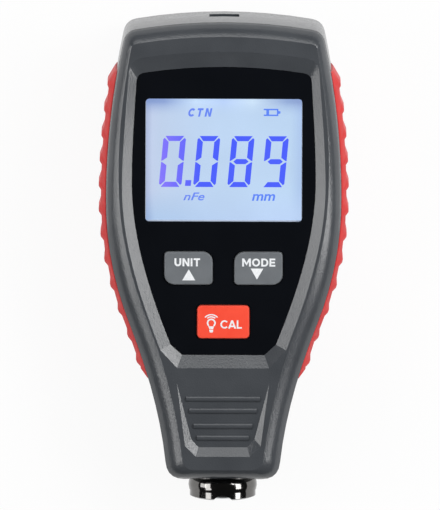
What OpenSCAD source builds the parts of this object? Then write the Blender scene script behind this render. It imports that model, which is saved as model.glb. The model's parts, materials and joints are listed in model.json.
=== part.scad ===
// Hand-held coating thickness gauge, lying on its back with the display up.
// +Z is the display's normal, +Y runs from the probe to the top end, X runs across.
// The origin is on the back face, under the middle of the whole length.

/* [Case] */
// Length of the two-part moulded case
case_len = 133; // [131:1:150]
// Depth of the case, back to front
case_depth = 31; // [29:1:36]
// Width across the top corners
top_w = 58.2; // [54:0.2:62]
// Width at the widest place
hip_w = 67.9; // [64:0.1:74]
// Width where the case turns into the neck
knee_w = 54; // [51:0.2:60]
// Width at the probe end
base_w = 32.8; // [30:0.2:38]
// Distance of the widest place from the top end
hip_drop = 52; // [46:1:58]
// Distance of the turn into the neck from the top end
knee_drop = 88; // [82:1:94]
// Fall of the curved top edge at its corners
top_rise = 2.8; // [1:0.1:6]
// Rounding of the two top corners
top_corner = 3.2; // [2.4:0.2:7]
// Rounding of the two corners at the probe end
base_corner = 5; // [3:0.2:6]
// Wall of the mouldings
wall = 2.2; // [1.8:0.1:2.8]
// Draw of the side walls, from the parting line to the shoulder
draft = 0.1; // [0.05:0.05:0.6]
// Width of the rounded shoulder beside the top corners
shoulder_w = 2.6; // [2:0.1:3.4]
// Width of the rounded shoulder at the widest place
hip_shoulder_w = 3.9; // [3.2:0.1:4.4]
// Width of the rounded shoulder where the case turns into the neck
knee_shoulder_w = 5.7; // [4.8:0.1:6]
// Width of the rounded shoulder beside the probe end
neck_shoulder_w = 5; // [4:0.1:5.4]
// Width of the rounded shoulder along the top end
top_shoulder_w = 3.7; // [2.8:0.1:4.4]
// Width of the rounded shoulder along the probe end
end_shoulder_w = 3.2; // [2.4:0.1:4]
// Height of the rounded shoulder
shoulder_h = 4; // [3:0.5:5]
// Angle by which the shoulder breaks away from the side wall
shoulder_break = 30; // [0:5:45]
// Angle by which the shoulder breaks away from the land
shoulder_crest = 15; // [0:5:25]

/* [Face panel] */
// Distance of the panel from the top end
panel_drop = 12.8; // [11.6:0.1:14]
// Length of the panel
panel_len = 83.5; // [82:0.1:85]
// Width of the panel at its top
panel_top_w = 50; // [48.4:0.2:51]
// Width of the panel at its widest place
panel_wide_w = 52.7; // [50:0.1:54]
// Distance of the panel's widest place from its top edge
panel_wide_drop = 33.4; // [28:0.2:38]
// Width of the panel above its lower chamfers
panel_low_w = 30.2; // [28:0.2:32]
// Width of the panel's lower edge
panel_end_w = 23.6; // [20:0.2:26]
// Height of the panel's lower chamfers
panel_chamfer = 3; // [1:0.5:5]
// Fall of the panel's curved top edge at its corners
panel_rise = 2.1; // [0.5:0.1:3]
// Depth of the panel's face under the land of the case
panel_depth = 1.6; // [1:0.1:2.2]
// Thickness of the panel
panel_t = 1.5; // [1.3:0.1:2]
// Width of the bevel beside the panel's top corners
bevel_side = 2.4; // [2:0.1:2.8]
// Width of the bevel beside the panel's lower end, to which it grows down the sides
bevel_low_side = 3.6; // [3:0.1:4]
// Width of the bevel along the panel's top edge
bevel_top = 4.7; // [3.6:0.1:5]
// Width of the bevel along the panel's lower edge
bevel_end = 3.7; // [3:0.1:4.4]
// Thickness of the deck that carries the panel
deck_t = 2; // [1.5:0.1:2.5]

/* [Display] */
// Width of the clear window
window_w = 45; // [40:0.5:46]
// Height of the clear window
window_h = 35.6; // [30:0.2:37]
// Distance of the window from the panel's top edge
window_drop = 9.2; // [8.4:0.2:11]
// Rounding of the window's corners
window_r = 1.1; // [0.5:0.1:2]
// Width of the window's bonding flange
window_flange = 1; // [0.6:0.1:1.2]
// Thickness of the liquid crystal glass
glass_t = 1.5; // [1:0.1:2]
// Width of the conductive strip under the glass
zebra_w = 2; // [1.5:0.1:3]

/* [Keys] */
// Width of the two upper keys
key_w = 13.9; // [12:0.1:15]
// Height of all keys
key_h = 9.6; // [8:0.2:10.4]
// Gap between the two upper keys
key_gap = 6.2; // [4:0.2:8]
// Width of the lower key
cal_w = 15; // [12:0.5:17]
// Distance of the upper keys' middle under the window
key_row_drop = 13.5; // [11:0.5:14]
// Distance of the lower key's middle under the upper keys'
cal_row_drop = 15.6; // [13:0.2:16]
// Rise of the keys over the panel
key_rise = 0.8; // [0.7:0.1:1.4]
// Travel of the keys
key_travel = 0.7; // [0.4:0.1:1]
// Rounding of the keys' tight corners
key_small_r = 1.2; // [0.8:0.1:2]
// Rounding of the keys' wide corners
key_large_r = 2.9; // [2:0.1:4]
// Easing of the keys' upper edges
key_ease = 0.5; // [0.3:0.1:0.6]
// Width of the keys' retaining flange
key_flange = 0.9; // [0.6:0.1:1.2]
// Diameter of the carbon pill under each key
pill_d = 4; // [3:0.5:6]

/* [Thumb rest] */
// Width of the ramped recess at its start
thumb_w = 27.8; // [24:0.2:29]
// Width of the recess above its lower chamfers
thumb_low_w = 21.8; // [19:0.2:23]
// Width of the recess at its lower end
thumb_end_w = 15.6; // [12:0.2:18]
// Length of the recess
thumb_len = 21.4; // [19:0.2:23]
// Distance of the recess from the probe end of the case
thumb_end_gap = 7.2; // [6:0.2:8.4]
// Depth of the recess at its lower end
thumb_depth = 1.4; // [1:0.1:2]
// Width of the recess's sloping lower wall
thumb_bevel = 2.6; // [1.6:0.1:3]
// Number of cross ribs
rib_count = 4; // [2:1:5]
// Distance of the first rib from the start of the recess
rib_lead = 4.6; // [3:0.1:6]
// Distance between the ribs
rib_pitch = 3.5; // [3.2:0.1:3.8]
// Added distance between the upper and the lower ribs
rib_split = 1; // [0:0.1:1.6]
// Distance of the first rib's ends from the sides of the recess
rib_margin = 3.3; // [2:0.1:5]
// Width of a rib
rib_w = 1.7; // [1:0.1:2.2]
// Height of a rib over the ramp
rib_h = 0.42; // [0.3:0.02:0.8]

/* [Side grips] */
// Distance of the grips' upper tips from the top end
grip_drop = 14.7; // [11:0.1:16]
// Number of teeth on each grip
tooth_count = 12; // [8:1:12]
// Distance between the teeth
tooth_pitch = 7.33; // [6:0.01:7.6]
// Distance of the first tooth's lower end from the grip's upper tip
tooth_drop = 5.35; // [5:0.05:7]
// Length of the grip's tail under its last tooth
tail_len = 3.2; // [2.8:0.1:6]
// Length of a tooth's abrupt lower end
tooth_step = 0.8; // [0.4:0.1:1.2]
// Length of a tooth's crest
tooth_flat = 0.9; // [0.5:0.1:1.5]
// Length of a tooth's upper ramp
tooth_ramp = 2; // [1:0.1:2.6]
// Rise of the teeth over the side of the case
tooth_proud = 2.05; // [1.6:0.05:3]
// Rise of the grip between its teeth
valley_proud = 1.4; // [0.6:0.05:1.5]
// Rise of the grip at its two tips
tip_proud = 0.5; // [0.4:0.05:0.8]
// Rise of the grip's rim, where it meets the case
rim_proud = 0.15; // [0.05:0.05:0.3]
// Depth, back to front, of the sloping rim
rim_h = 2.4; // [1.5:0.1:3]
// Depth, back to front, of the teeth's sloping ends
tooth_end_h = 1.2; // [0.6:0.1:2]
// Depth, back to front, of the grips
grip_h = 19; // [14:0.5:20]
// Depth of the groove that each grip lies in
groove_d = 0.8; // [0.4:0.1:1.2]

/* [Probe] */
// Reach of the probe's tip past the case
probe_reach = 7; // [6.5:0.1:9]
// Diameter of the sleeve where it passes the case
neck_d = 16.4; // [15:0.2:18]
// Diameter of the sleeve's bulge
bulge_d = 19.8; // [18.8:0.2:22]
// Diameter of the sleeve's end band
band_d = 19; // [17:0.2:20]
// Diameter of the sleeve's bore
bore_d = 10; // [8:0.2:11]
// Width of the arched notch across the sleeve's end
notch_w = 5.4; // [4:0.2:7]
// Height of the arched notch
notch_h = 1.5; // [0.8:0.1:2]
// Rise of the hard tip over the core's end
tip_rise = 0.3; // [0.2:0.05:0.6]
// Length of the core's spring
spring_len = 9.4; // [7:0.2:11]
// Wire of the springs
wire_d = 0.7; // [0.4:0.1:1]

/* [Strap slot] */
// Width of the slot in the top end
slot_w = 8.6; // [6:0.2:12]
// Height of the slot
slot_h = 3.8; // [2.4:0.2:3.8]
// Height of the slot's mouth, which lies behind the parting line
mouth_h = 5.6; // [4:0.2:7]
// Depth of the slot's mouth
mouth_depth = 1.1; // [0.6:0.1:1.4]
// Rounding of the slot's corners
slot_r = 0.7; // [0.4:0.1:1.4]
// Diameter of the post behind the slot
strap_post_d = 2.6; // [2:0.2:3.4]

/* [Battery bay] */
// Diameter of a cell
cell_d = 10.5; // [10:0.1:10.6]
// Length of a cell with its nub
cell_len = 44.5; // [43:0.1:45]
// Gap round the cells
cell_gap = 0.7; // [0.4:0.1:0.9]
// Room for the contacts at each end of the bay
contact_room = 2.75; // [2.5:0.05:3.2]
// Distance of the bay from the top end
bay_drop = 24; // [22:1:27]
// Thickness of the door
door_t = 1.8; // [1.6:0.1:2.2]
// Width of the ledge that the door closes on
door_ledge = 1.4; // [1:0.1:2]
// Width of the finger notch at the door's free end
finger_w = 12; // [8:1:16]

/* [Fasteners] */
// Diameter of the case screws
screw_d = 2.4; // [2:0.1:2.8]
// Diameter of the case screws' heads
screw_head_d = 5; // [4:0.2:5.4]
// Diameter of the case screws' bosses
boss_d = 6.6; // [6.2:0.2:7]
// Distance of the upper bosses from the top end
boss_drop = 16; // [14:0.5:18]
// Gap between the upper bosses and the circuit board
boss_gap = 2; // [1:0.1:2.4]
// Distance of the lower bosses from the middle
low_boss_x = 12.8; // [11.4:0.2:13.6]
// Distance of the lower bosses from the probe end of the case
low_boss_rise = 24; // [22:0.5:27]
// Distance of the upper board posts outside the upper keys' middles
post_out = 5.5; // [4:0.5:6]
// Distance of the upper board posts under the panel's top edge
post_drop = 3; // [2:0.5:3.5]
// Distance of the lower board posts outside the upper keys' middles
low_post_out = 3.5; // [3:0.5:5]
// Distance of the lower board posts above the lower key's middle
low_post_rise = 1.7; // [1:0.1:2.5]
// Diameter of the board posts
post_d = 5.2; // [4:0.2:6]
// Diameter of the board's screws
board_screw_d = 1.8; // [1.6:0.1:2.2]
// Thickness of the circuit board
board_t = 1.6; // [1:0.1:2]

/* [Fits] */
// Gap between pieces that are fixed to each other
fit = 0.08; // [0.05:0.01:0.12]
// Gap beside pieces that slide or turn
play = 0.25; // [0.2:0.05:0.35]

/* [Hidden] */
$fn = 48;
// How far a cutter runs past the face that it cuts
over = 1;
side_steps = 22;
corner_steps = 5;
edge_steps = 4;
arc_steps = 5;

// Levels, back to front
parting_z = case_depth / 2;
panel_top_z = case_depth - panel_depth;
deck_top_z = panel_top_z - panel_t;
deck_z = deck_top_z - deck_t;
post_len = 4.3;
board_top_z = deck_z - post_len;
board_z = board_top_z - board_t;
shoulder_z = case_depth - shoulder_h;

// Places along the length
top_y = (case_len + probe_reach) / 2;
bottom_y = top_y - case_len;
tip_y = bottom_y - probe_reach;
panel_top_y = top_y - panel_drop;
panel_bottom_y = panel_top_y - panel_len;
window_y = panel_top_y - window_drop - window_h / 2;
key_y = window_y - window_h / 2 - key_row_drop;
cal_y = key_y - cal_row_drop;
key_x = (key_w + key_gap) / 2;
cavity_in = wall + draft;

// The sides as stations of [y, half width, slope], from the probe end up
station_in = 3;
case_side = [
    [bottom_y + station_in, base_w / 2, 0.09],
    [top_y - knee_drop, knee_w / 2, 0.39],
    [top_y - hip_drop, hip_w / 2, 0],
    [top_y - station_in - top_rise, top_w / 2, -0.21]
];
panel_side = [
    [panel_bottom_y + panel_chamfer, panel_low_w / 2, 0.4],
    [panel_top_y - panel_wide_drop, panel_wide_w / 2, 0],
    [panel_top_y - station_in, panel_top_w / 2, -0.06]
];
// The shoulder's width down the sides, as stations of the same kind
shoulder_side = [
    [case_side[0][0], neck_shoulder_w, 0],
    [case_side[1][0], knee_shoulder_w, 0],
    [case_side[2][0], hip_shoulder_w, -0.06],
    [case_side[3][0], shoulder_w, -0.02]
];

// Cubic through two values with given slopes
function hermite(a, b, slope_a, slope_b, t) =
    (2 * t^3 - 3 * t^2 + 1) * a + (t^3 - 2 * t^2 + t) * slope_a
    + (3 * t^2 - 2 * t^3) * b + (t^3 - t^2) * slope_b;

// Value of a side curve at y, straight past its end stations
function side_at(side, y) = let (
        i = len([for (s = side) if (s[0] <= y) 1]) - 1,
        a = side[max(i, 0)],
        b = side[min(i + 1, len(side) - 1)],
        run = b[0] - a[0]
    ) i < 0 || run == 0 ? a[1] + a[2] * (y - a[0])
    : hermite(a[1], b[1], run * a[2], run * b[2], (y - a[0]) / run);

// Rounded corner from a to c, with the sharp corner at b
function corner(a, b, c) = [for (i = [0:corner_steps])
    let (t = i / corner_steps) (1 - t)^2 * a + 2 * t * (1 - t) * b + t^2 * c];

// Whole outline from its right half, which runs from the lower end to the top
function closed(half) = concat(half,
    [for (i = [len(half) - 1:-1:0]) if (half[i][0] > 0) [-half[i][0], half[i][1]]]);

function at_z(ring, z) = [for (p = ring) [p[0], p[1], z]];

// Outline of the case, inset all round and by a part of the shoulder's width
function case_outline(inset, part) = let (
        y0 = bottom_y + inset + part * end_shoulder_w,
        y1 = top_y - inset - part * top_shoulder_w,
        fall = function(x) y1 - top_rise * (2 * x / top_w)^2,
        edge = function(y) side_at(case_side, y) - inset - part * side_at(shoulder_side, y),
        low_r = max(base_corner - (inset + part * end_shoulder_w) / 2, over),
        top_r = max(top_corner - (inset + part * top_shoulder_w) / 2, over),
        x1 = edge(y1 - top_rise),
        corner_y = fall(x1),
        side_y0 = y0 + low_r,
        side_y1 = corner_y - top_r
    ) closed(concat(
        corner([edge(y0) - low_r, y0], [edge(y0), y0], [edge(side_y0), side_y0]),
        [for (i = [1:side_steps - 1])
            let (y = side_y0 + (side_y1 - side_y0) * i / side_steps) [edge(y), y]],
        corner([edge(side_y1), side_y1], [x1, corner_y], [x1 - top_r, fall(x1 - top_r)]),
        [for (i = [edge_steps - 1:-1:0])
            let (x = (x1 - top_r) * i / edge_steps) [x, fall(x)]]));

// Width of the bevel, which grows down the panel's sides
function bevel_at(y) = bevel_side + (bevel_low_side - bevel_side) * (panel_top_y - y) / panel_len;

// Outline of the face panel, grown all round and by a part of the bevel's width
function panel_outline(grow, part) = let (
        low_grow = grow + part * bevel_end,
        y0 = panel_bottom_y - low_grow,
        y1 = panel_top_y + grow + part * bevel_top,
        fall = function(x) y1 - panel_rise * (2 * x / panel_top_w)^2,
        edge = function(y) side_at(panel_side, y) + grow + part * bevel_at(y),
        x1 = edge(y1 - panel_rise),
        top_r = panel_rise + (grow + part * bevel_side) / 2,
        turn = tan(atan2(panel_chamfer, (panel_low_w - panel_end_w) / 2) / 2),
        side_y0 = panel_bottom_y + panel_chamfer - turn * low_grow,
        side_y1 = fall(x1) - top_r
    ) closed(concat(
        [[panel_end_w / 2 + turn * low_grow, y0]],
        [for (i = [0:side_steps - 1])
            let (y = side_y0 + (side_y1 - side_y0) * i / side_steps) [edge(y), y]],
        corner([edge(side_y1), side_y1], [x1, fall(x1)], [x1 - top_r, fall(x1 - top_r)]),
        [for (i = [edge_steps - 1:-1:0])
            let (x = (x1 - top_r) * i / edge_steps) [x, fall(x)]]));

// Rectangle with its own radius at each corner, from the upper right one round
function rounded(w, h, radii, grow = 0) = [for (k = [0:3]) for (i = [0:arc_steps])
    let (
        r = max(radii[k] + grow, 0.2),
        a = 90 * (k + i / arc_steps),
        sx = k == 0 || k == 3 ? 1 : -1,
        sy = k < 2 ? 1 : -1
    ) [sx * (w / 2 + grow - r) + r * cos(a), sy * (h / 2 + grow - r) + r * sin(a)]];

// Solid through a stack of rings that have as many points each, its ends laid out in rungs
module skin(rings) {
    n = len(rings[0]);
    top = len(rings) - 1;
    sides = [for (k = [0:top - 1]) for (i = [0:n - 1])
        let (a = k * n + i, b = k * n + (i + 1) % n)
        each [[a, a + n, b + n], [a, b + n, b]]];
    rungs = [for (i = [0:ceil(n / 2) - 2]) let (j = n - 1 - i)
        each i + 2 == j ? [[i, i + 1, j]] : [[i, i + 1, j], [i + 1, j - 1, j]]];
    roof = [for (r = rungs) [top * n + r[2], top * n + r[1], top * n + r[0]]];
    polyhedron([for (r = rings) each r], concat(rungs, roof, sides));
}

// Coil spring along +Z from z = 0, its radius going from r0 to r1
module coil(r0, r1, length, turns) {
    turn_steps = 14;
    wire_sides = 6;
    steps = turns * turn_steps;
    rings = [for (i = [0:steps]) let (
            t = i / steps,
            a = 360 * i / turn_steps,
            r = r0 + (r1 - r0) * t,
            z = wire_d / 2 + (length - wire_d) * t
        ) [for (k = [0:wire_sides - 1]) let (
            b = -360 * k / wire_sides,
            x = r + wire_d / 2 * cos(b)
        ) [x * cos(a), x * sin(a), z + wire_d / 2 * sin(b)]]];
    skin(rings);
}

// Copies on both sides of the middle
module both_sides() {
    children();
    mirror([1, 0, 0]) children();
}

// A round solid along +Y from y0 to y1
module along_y(d, y0, y1) {
    translate([0, y0, 0]) rotate([-90, 0, 0]) cylinder(d = d, h = y1 - y0);
}

// The case mouldings

// Posts that the circuit board hangs from, and screw bosses beside it and in the neck
post_places = [
    [key_x + post_out, panel_top_y - post_drop],
    [key_x + low_post_out, cal_y + low_post_rise]
];
board_top_w = 2 * post_places[0][0] + post_d;
boss_places = [
    [board_top_w / 2 + boss_gap + boss_d / 2, top_y - boss_drop],
    [low_boss_x, bottom_y + low_boss_rise]
];
head_seat_z = 3;
pilot_end_z = deck_z - 1.4;

// Turn of the shoulder as steps of [part of its width, part of its height]
shoulder_steps = 4;
shoulder_turn = [for (i = [0:shoulder_steps]) let (
        a0 = shoulder_break,
        a1 = 90 - shoulder_crest,
        a = a0 + (a1 - a0) * i / shoulder_steps
    ) [(cos(a0) - cos(a)) / (cos(a0) - cos(a1)), (sin(a) - sin(a0)) / (sin(a1) - sin(a0))]];

module case_front() {
    skin(concat(
        [at_z(case_outline(0, 0), parting_z + fit / 2)],
        [for (s = shoulder_turn)
            at_z(case_outline(draft, s[0]), shoulder_z + shoulder_h * s[1])]));
}

module case_rear() {
    skin(concat(
        [for (i = [shoulder_steps:-1:0]) let (s = shoulder_turn[i])
            at_z(case_outline(draft, s[0]), shoulder_h * (1 - s[1]))],
        [at_z(case_outline(0, 0), parting_z - fit / 2)]));
}

// Inside of the case between two levels
module cavity(z0, z1) {
    translate([0, 0, z0]) linear_extrude(z1 - z0) polygon(case_outline(cavity_in, 0));
}

// Pocket for the face panel, opening out to the bevel
module panel_pocket() {
    rise = panel_depth + over / 4;
    skin([
        at_z(panel_outline(fit, 0), deck_top_z),
        at_z(panel_outline(fit, 0), panel_top_z),
        at_z(panel_outline(0, 1), case_depth),
        at_z(panel_outline(0, rise / panel_depth), panel_top_z + rise)
    ]);
}

// The thumb rest's ramp falls from the land of the case towards the probe
thumb_end_y = bottom_y + thumb_end_gap;
thumb_y = thumb_end_y + thumb_len;
thumb_slope = thumb_depth / (thumb_len - thumb_bevel);
thumb_lead = over / 2 / thumb_slope;
function ramp_z(y) = case_depth - thumb_slope * (thumb_y - y);

// Outline of the recess, inset by its sloping wall, and the share of that at its corners
thumb_turn = 0.3;
function thumb_outline(inset) = let (
        y0 = thumb_end_y + inset,
        chamfer = (thumb_low_w - thumb_end_w) / 2,
        grow = (thumb_w - thumb_low_w) / 2 / (thumb_len - chamfer) * thumb_lead
    ) closed([
        [thumb_end_w / 2 - inset * thumb_turn, y0],
        [thumb_low_w / 2 - inset * (1 - thumb_turn), y0 + chamfer - inset * thumb_turn],
        [thumb_w / 2 + grow, thumb_y + thumb_lead]
    ]);

module thumb_recess() {
    skin([
        [for (p = thumb_outline(thumb_bevel)) [p[0], p[1], ramp_z(p[1])]],
        at_z(thumb_outline(0), case_depth + over / 100),
        at_z(thumb_outline(0), case_depth + over)
    ]);
}

// Cross ribs, whose ends follow the taper of the recess
module thumb_ribs() {
    rib_r = (rib_w^2 / 4 + rib_h^2) / (2 * rib_h);
    first_y = thumb_y - rib_lead;
    rib_taper = 0.27;
    for (i = [0:rib_count - 1]) {
        y = first_y - i * rib_pitch - (i < rib_count / 2 ? 0 : rib_split);
        half = thumb_w / 2 - rib_margin - rib_taper * (first_y - y);
        translate([-half, y, ramp_z(y) + rib_h - rib_r]) rotate([0, 90, 0])
            cylinder(r = rib_r, h = 2 * half);
    }
}

// The grips as stations of [y, rise of the band, rise of the teeth], from the lower tip up
grip_y1 = top_y - grip_drop;
tail_y = grip_y1 - tooth_drop - (tooth_count - 1) * tooth_pitch;
grip_y0 = tail_y - tail_len;
grip_z0 = parting_z - grip_h / 2;
grip_z1 = grip_z0 + grip_h;
tip_band_proud = (rim_proud + tip_proud) / 2;
grip_stations = concat(
    [[grip_y0, tip_band_proud, tip_proud], [tail_y - tail_len / 4, valley_proud, valley_proud]],
    [for (k = [tooth_count - 1:-1:0]) let (y = grip_y1 - tooth_drop - k * tooth_pitch) each concat(
        [[y, valley_proud, valley_proud], [y + tooth_step, valley_proud, tooth_proud]],
        [[y + tooth_step + tooth_flat, valley_proud, tooth_proud]],
        k == 0 ? [] : [[y + tooth_step + tooth_flat + tooth_ramp, valley_proud, valley_proud]])],
    [[grip_y1, tip_band_proud, tip_proud]]);

// Groove along both sides for the grips
module grip_grooves() {
    last = len(grip_stations) - 1;
    inner = [for (i = [0:last])
        let (y = grip_stations[i][0] + (i == 0 ? -fit : i == last ? fit : 0))
        [side_at(case_side, y) - groove_d, y]];
    outer_x = hip_w / 2 + tooth_proud + over;
    both_sides() translate([0, 0, grip_z0 - fit]) linear_extrude(grip_h + 2 * fit)
        polygon(concat([[outer_x, inner[0][1]], [outer_x, inner[last][1]]],
            [for (i = [last:-1:0]) inner[i]]));
}

// Slot through the top wall of the rear half, with a taller mouth
module strap_slot() {
    corners = [for (i = [0:3]) slot_r];
    translate([0, top_y + over, parting_z - mouth_h / 2]) rotate([90, 0, 0]) {
        linear_extrude(wall + 3 * over) polygon(rounded(slot_w, slot_h, corners));
        translate([0, over, 0]) linear_extrude(over + mouth_depth)
            polygon(rounded(slot_w, mouth_h + 2 * over, corners));
    }
}
strap_gap = 1.4;
strap_y = top_y - cavity_in - strap_gap - strap_post_d / 2;

// Hole for the sleeve through the lower end wall
module sleeve_hole() {
    translate([0, 0, parting_z]) along_y(neck_d + 2 * fit, bottom_y - over, bottom_y + cavity_in + over);
}

module front_shell() color("#44484c") difference() {
    union() {
        difference() {
            case_front();
            cavity(parting_z - over, deck_z);
            panel_pocket();
            thumb_recess();
        }
        thumb_ribs();
        both_sides() {
            for (p = boss_places) translate([p[0], p[1], parting_z + fit / 2])
                cylinder(d = boss_d, h = deck_z + over / 2 - parting_z);
            for (p = post_places) translate([p[0], p[1], board_top_z + fit])
                cylinder(d = post_d, h = post_len + over / 2);
        }
        translate([0, strap_y, parting_z + fit / 2])
            cylinder(d = strap_post_d, h = deck_z + over / 2 - parting_z);
    }
    translate([0, window_y, deck_z - over]) linear_extrude(deck_t + 2 * over)
        polygon(rounded(frame_w, frame_h, square_corners, play));
    for (k = key_list) translate([k[0], k[1], deck_z - over]) linear_extrude(deck_t + 2 * over)
        polygon(rounded(k[2], key_h, k[3], key_flange + play));
    both_sides() {
        for (p = boss_places) translate([p[0], p[1], parting_z - over])
            cylinder(d = screw_d + 2 * fit, h = pilot_end_z - parting_z + over);
        for (p = post_places) translate([p[0], p[1], board_z])
            cylinder(d = board_screw_d + 2 * fit, h = pilot_end_z - board_z);
    }
    grip_grooves();
    sleeve_hole();
}

// Battery bay, opening to the back and closed by the door
door_gap = 0.3;
door_in_z = door_gap + door_t;
bay_w = 2 * cell_d + 3 * cell_gap;
bay_len = cell_len + 2 * contact_room;
bay_y1 = top_y - bay_drop;
bay_y0 = bay_y1 - bay_len;
cell_x = (cell_d + cell_gap) / 2;
cell_z = door_in_z + cell_gap + cell_d / 2;
bay_roof_z = cell_z + cell_d / 2 + cell_gap / 2;
bay_wall = door_ledge + play + 1;
roof_t = 1.2;
door_w = bay_w + 2 * door_ledge;
door_y1 = bay_y1 + door_ledge;
hinge_d = door_t;
hinge_y = bay_y0 - door_ledge;
hinge_z = door_gap + hinge_d / 2;

// A block from one corner to the other, centred across
module block(w, y0, y1, z0, z1) {
    translate([-w / 2, y0, z0]) cube([w, y1 - y0, z1 - z0]);
}

module rear_shell() color("#3e4246") difference() {
    union() {
        difference() {
            case_rear();
            cavity(wall, parting_z + over);
        }
        block(bay_w + 2 * bay_wall, bay_y0 - bay_wall, bay_y1 + bay_wall,
            wall / 2, bay_roof_z + roof_t);
        both_sides() for (p = boss_places) translate([p[0], p[1], wall / 2])
            cylinder(d = boss_d, h = parting_z - fit / 2 - wall / 2);
        translate([0, strap_y, wall / 2])
            cylinder(d = strap_post_d, h = parting_z - fit / 2 - wall / 2);
    }
    block(bay_w, bay_y0, bay_y1, -over, bay_roof_z);
    block(door_w + 2 * play, hinge_y - hinge_d / 2 - play, door_y1 + play, -over, door_in_z + fit);
    translate([0, door_y1 + play, -over]) cylinder(d = finger_w, h = over + door_gap + door_t / 2);
    both_sides() for (p = boss_places) translate([p[0], p[1], -over]) {
        cylinder(d = screw_head_d + 2 * play, h = head_seat_z + over);
        cylinder(d = screw_d + 2 * play, h = parting_z + 2 * over);
    }
    grip_grooves();
    strap_slot();
    sleeve_hole();
}

// The side grips

// Section of a grip at a station: a rim that slopes out to a plain band, and the teeth behind it
function grip_section(e) = let (
        x = side_at(case_side, e[0]),
        outer = [[0, rim_proud], [rim_h, e[1]], [rim_h + tooth_end_h, e[2]]]
    ) concat(
        [[x - groove_d + fit, e[0], grip_z1]],
        [for (o = outer) [x + o[1], e[0], grip_z1 - o[0]]],
        [for (i = [len(outer) - 1:-1:0]) [x + outer[i][1], e[0], grip_z0 + outer[i][0]]],
        [[x - groove_d + fit, e[0], grip_z0]]);

module side_grip() {
    skin([for (e = grip_stations) grip_section(e)]);
}

module right_grip() color("#d23434") side_grip();

module left_grip() color("#d23434") mirror([1, 0, 0]) side_grip();

// The face: panel, window and display

square_corners = [0.5, 0.5, 0.5, 0.5];
window_corners = [for (i = [0:3]) window_r];
frame_w = window_w + 2 * window_flange;
frame_h = window_h + 2 * window_flange;
flange_t = panel_t / 2;

// A straight plate of a rounded outline
module plate(outline, z0, z1) {
    translate([0, 0, z0]) linear_extrude(z1 - z0) polygon(outline);
}

module face_panel() color("#0d0f12") difference() {
    plate(panel_outline(0, 0), deck_top_z + fit, panel_top_z);
    translate([0, window_y, 0]) {
        plate(rounded(window_w, window_h, window_corners), deck_z, case_depth);
        plate(rounded(frame_w, frame_h, window_corners), deck_z, deck_top_z + flange_t + fit);
    }
    for (k = key_list) translate([k[0], k[1], 0])
        plate(rounded(k[2], key_h, k[3], play), deck_z, case_depth);
}

module display_window() color("#cfe0f5", 0.5) translate([0, window_y, 0]) {
    plate(rounded(frame_w, frame_h, window_corners, -fit), deck_top_z + fit, deck_top_z + flange_t);
    plate(rounded(window_w, window_h, window_corners, -fit), deck_top_z + flange_t / 2, panel_top_z);
}

lip_t = 0.7;
frame_wall = 0.8;
glass_top_z = deck_top_z - fit - lip_t;
glass_z = glass_top_z - fit - glass_t;
inner_w = frame_w - 2 * frame_wall;
inner_h = frame_h - 2 * frame_wall;

module lcd_frame() color("#e8e8e4") translate([0, window_y, 0]) difference() {
    plate(rounded(frame_w, frame_h, square_corners), board_top_z + fit, deck_top_z - fit);
    plate(rounded(inner_w, inner_h, square_corners), board_z, glass_top_z);
    plate(rounded(inner_w, inner_h, square_corners, -lip_t / 2), board_z, case_depth);
}

module lcd_glass() color("#b9d0f0") translate([0, window_y, 0])
    plate(rounded(inner_w, inner_h, square_corners, -fit), glass_z, glass_top_z - fit);

module backlight_plate() color("#f4f7fb") translate([0, window_y + zebra_w / 2 + fit, 0])
    plate(rounded(inner_w - 2 * fit, inner_h - zebra_w - 4 * fit, square_corners),
        board_top_z + fit, glass_z - fit);

module zebra_strip() color("#d9a0a8")
    translate([0, window_y - inner_h / 2 + fit, 0])
        block(inner_w - 4 * frame_wall, 0, zebra_w, board_top_z + fit, glass_z - fit);

// The keys

unit_radii = [key_large_r, key_small_r, key_large_r, key_small_r];
mode_radii = [key_small_r, key_large_r, key_small_r, key_large_r];
cal_radii = [for (i = [0:3]) key_small_r];
// Each key as [x, y, width, corner radii]
unit_at = [-key_x, key_y, key_w, unit_radii];
mode_at = [key_x, key_y, key_w, mode_radii];
cal_at = [0, cal_y, cal_w, cal_radii];
key_list = [unit_at, mode_at, cal_at];
key_top_z = panel_top_z + key_rise;
contact_t = 0.1;
pill_t = 0.8;
pill_z = board_top_z + fit + contact_t + key_travel + fit;
key_flange_z = deck_top_z - 1;

// Key cap with eased edges, a flange under the panel and a stem to its pill
module key(k) {
    translate([k[0], k[1], 0]) {
        plate(rounded(k[2], key_h, k[3], key_flange), key_flange_z, deck_top_z - fit);
        skin([
            at_z(rounded(k[2], key_h, k[3]), (key_flange_z + deck_top_z) / 2),
            at_z(rounded(k[2], key_h, k[3]), key_top_z - key_ease),
            at_z(rounded(k[2], key_h, k[3], -0.3 * key_ease), key_top_z - 0.3 * key_ease),
            at_z(rounded(k[2], key_h, k[3], -key_ease), key_top_z)
        ]);
        translate([0, 0, pill_z + pill_t + fit])
            cylinder(d = pill_d, h = key_flange_z + 0.5 - pill_z - pill_t - fit);
    }
}

module pill(k) color("#202020") translate([k[0], k[1], pill_z]) cylinder(d = pill_d, h = pill_t);

module unit_key() color("#6a6e72") key(unit_at);

module mode_key() color("#6a6e72") key(mode_at);

module cal_key() color("#ef4a32") key(cal_at);

module unit_pill() pill(unit_at);

module mode_pill() pill(mode_at);

module cal_pill() pill(cal_at);

// The circuit board

board_low_y = cal_y - key_h / 2 - 4;
board_low_w = 2 * post_places[1][0] + post_d + 2;
board_mid_w = frame_w + 4;
board_high_y = panel_top_y + 1;

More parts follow.
